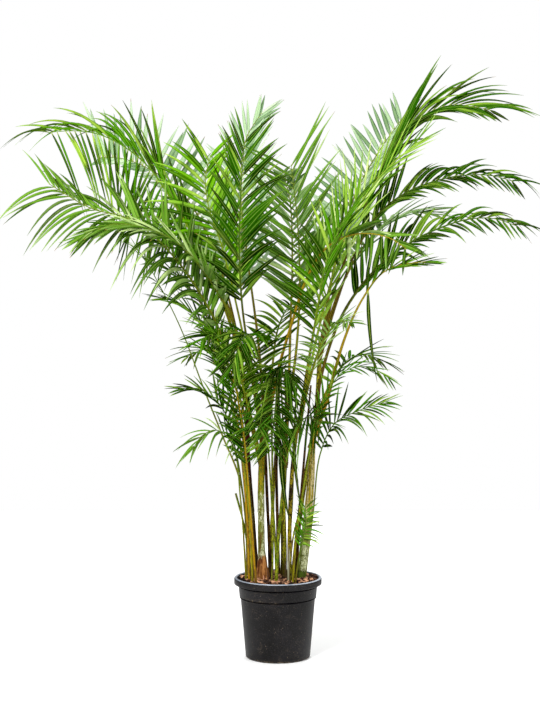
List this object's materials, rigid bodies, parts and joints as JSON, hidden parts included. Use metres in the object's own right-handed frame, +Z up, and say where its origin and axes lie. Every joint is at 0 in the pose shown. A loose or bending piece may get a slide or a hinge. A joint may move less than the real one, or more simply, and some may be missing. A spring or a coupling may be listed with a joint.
{
  "type": "potted palm",
  "caption": "Tall clump palm with arching feather leaves on slim ringed canes, standing in a round tapered black nursery pot filled with bark mix.",
  "frame": {"origin": "centre of the pot's underside, on the surface that it stands on", "axes": "+Z up along the pot's axis, -Y towards the side that the picture shows, +X to its right"},
  "size_m": [2.1417, 1.4803, 2.296],
  "materials": {
    "black_plastic": "moulded, faintly scuffed, satin",
    "bark_mix": "loose reddish-brown bark and coir chips",
    "pale_cane": "smooth waxy silvery green with ring scars",
    "olive_cane": "smooth olive to golden, speckled",
    "green_cane": "smooth light green",
    "brown_cane": "dry fibrous brown sheath",
    "golden_cane": "smooth golden yellow, faintly speckled",
    "deep_leaf": "satin deep green leaflets",
    "dark_leaf": "satin dark green leaflets",
    "bright_leaf": "satin bright green leaflets",
    "young_leaf": "satin yellow-green young leaflets",
    "grey_leaf": "satin grey-green leaflets",
    "pale_leaf": "matte pale grey-green undersides"
  },
  "bodies": {
    "root": {"pot": "black_plastic", "soil": "bark_mix", "cane_left": "pale_cane", "cane_right": "pale_cane", "cane_back_left": "brown_cane", "cane_back_right": "olive_cane", "cane_middle": "olive_cane", "cane_mid_right": "olive_cane", "cane_front": "green_cane", "cane_slim_dark": "brown_cane", "cane_silver": "pale_cane", "cane_cut": "green_cane", "cane_green": "green_cane", "cane_mottled": "brown_cane", "cane_right_green": "green_cane", "cane_right_brown": "brown_cane", "cane_far": "olive_cane", "cane_golden": "golden_cane", "cane_yellow": "golden_cane", "cane_thin_green": "green_cane", "cane_thin_olive": "golden_cane", "cane_short": "olive_cane", "frond_left_top": "deep_leaf", "frond_left_arch": "grey_leaf", "frond_left_droop": "grey_leaf", "frond_left_back": "pale_leaf", "frond_left_low": "grey_leaf", "frond_left_thin": "grey_leaf", "frond_left_mid": "deep_leaf", "frond_left_golden": "dark_leaf", "frond_left_small": "grey_leaf", "frond_left_fine": "dark_leaf", "frond_mid_left_tall": "dark_leaf", "frond_mid_left_bright": "bright_leaf", "frond_mid_back": "pale_leaf", "frond_mid_tall": "grey_leaf", "frond_mid_front": "dark_leaf", "frond_mid_front_left": "deep_leaf", "frond_mid_front_right": "grey_leaf", "frond_mid_low": "dark_leaf", "frond_mid_low_left": "dark_leaf", "frond_mid_hanging": "dark_leaf", "frond_mid_inner": "dark_leaf", "frond_right_arch": "grey_leaf", "frond_right_young": "young_leaf", "frond_right_top": "dark_leaf", "frond_right_back": "pale_leaf", "frond_right_high": "dark_leaf", "frond_right_mid": "dark_leaf", "frond_right_inner": "deep_leaf", "frond_right_droop": "deep_leaf", "frond_right_low": "deep_leaf", "frond_right_lower": "deep_leaf", "frond_right_sucker": "dark_leaf", "frond_back_left": "pale_leaf", "frond_back_mid": "pale_leaf", "frond_back_right": "pale_leaf", "frond_back_low": "deep_leaf", "frond_back_low_left": "deep_leaf", "frond_back_low_right": "deep_leaf"}
  },
  "joints": []
}
